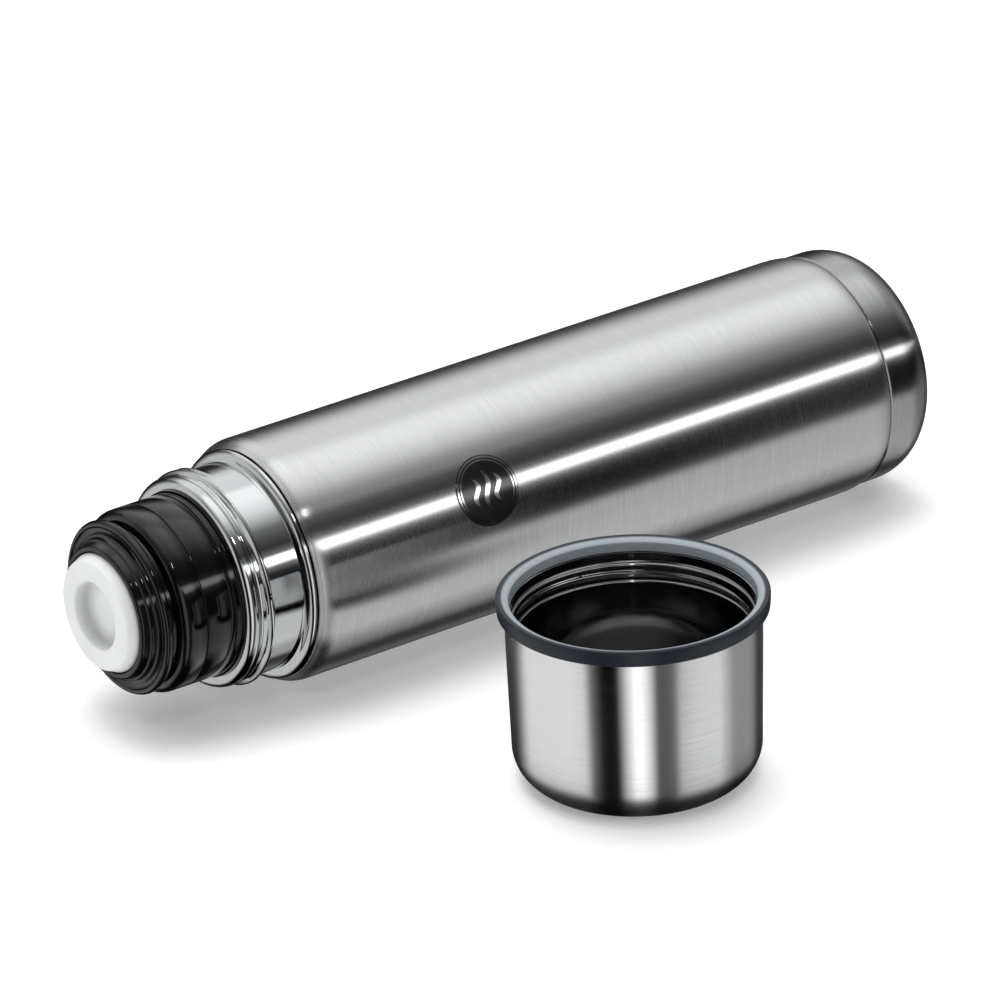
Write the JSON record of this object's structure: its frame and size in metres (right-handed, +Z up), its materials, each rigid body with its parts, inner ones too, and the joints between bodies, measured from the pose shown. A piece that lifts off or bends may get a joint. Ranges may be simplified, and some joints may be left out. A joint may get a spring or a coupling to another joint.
{
  "type": "vacuum flask",
  "caption": "Lying steel vacuum flask with a threaded neck, a push-button pouring stopper and a steel drinking cup standing beside it.",
  "frame": {"origin": "on the surface that the flask lies on and the cup stands on, at the middle of the whole arrangement", "axes": "+X along the flask's axis from its mouth to its base, +Y from the cup to the flask, +Z up along the cup's axis"},
  "size_m": [0.3074, 0.2134, 0.08],
  "materials": {
    "brushed_steel": "circumferential brushed grain",
    "polished_steel": "mirror polished",
    "plain_steel": "plain drawn steel",
    "foil": "thin copper-coloured foil",
    "black_plastic": "glossy black moulding",
    "white_plastic": "satin white moulding",
    "rim_plastic": "satin slate moulding",
    "silicone": "soft translucent white",
    "foam": "light rigid foam",
    "grey_rubber": "matte dark grey",
    "getter": "matte sintered tablet"
  },
  "bodies": {
    "flask_body": {"outer_shell": "brushed_steel", "neck_collar": "polished_steel", "inner_liner": "plain_steel", "liner_bottom": "plain_steel", "base_cup": "brushed_steel", "outer_bottom_plate": "plain_steel", "vacuum_seal_bead": "plain_steel", "getter_tablet": "getter", "foil_wrap": "foil"},
    "stopper_carrier": {"neck_gasket": "silicone"},
    "stopper": {"stopper_plug": "black_plastic", "stopper_grip": "black_plastic", "stopper_top_ring": "black_plastic", "insulation_ring": "foam", "latch_cam": "white_plastic", "stem_o_ring": "grey_rubber"},
    "button": {"push_button": "white_plastic", "button_spring": "plain_steel", "valve_stem": "white_plastic", "valve_head": "black_plastic", "valve_seal": "silicone", "latch_rotor": "white_plastic"},
    "cup": {"cup_shell": "brushed_steel", "cup_liner": "black_plastic", "cup_rim_ring": "rim_plastic"}
  },
  "joints": [
    {"name": "stopper_travel", "type": "slide", "parent": "flask_body", "child": "stopper_carrier", "axis": [-1, 0, 0], "range_m": [0, 0.0075]},
    {"name": "stopper_turn", "type": "hinge", "parent": "stopper_carrier", "child": "stopper", "pos_m": [-0.1, 0.06675, 0.04], "axis": [-1, 0, 0], "range_deg": [0, 540]},
    {"name": "button_press", "type": "slide", "parent": "stopper", "child": "button", "axis": [1, 0, 0], "range_m": [0, 0.003], "stiffness_N_per_m": 800, "springref_m": -0.004, "deforming": ["button_spring"]},
    {"name": "cup_lift", "type": "slide", "parent": "flask_body", "child": "cup", "axis": [0, 0, 1], "range_m": [0, 0.12]}
  ],
  "couplings": [
    {"joint": "stopper_travel", "follows": "stopper_turn", "m_per_rad": 0.00079577}
  ]
}
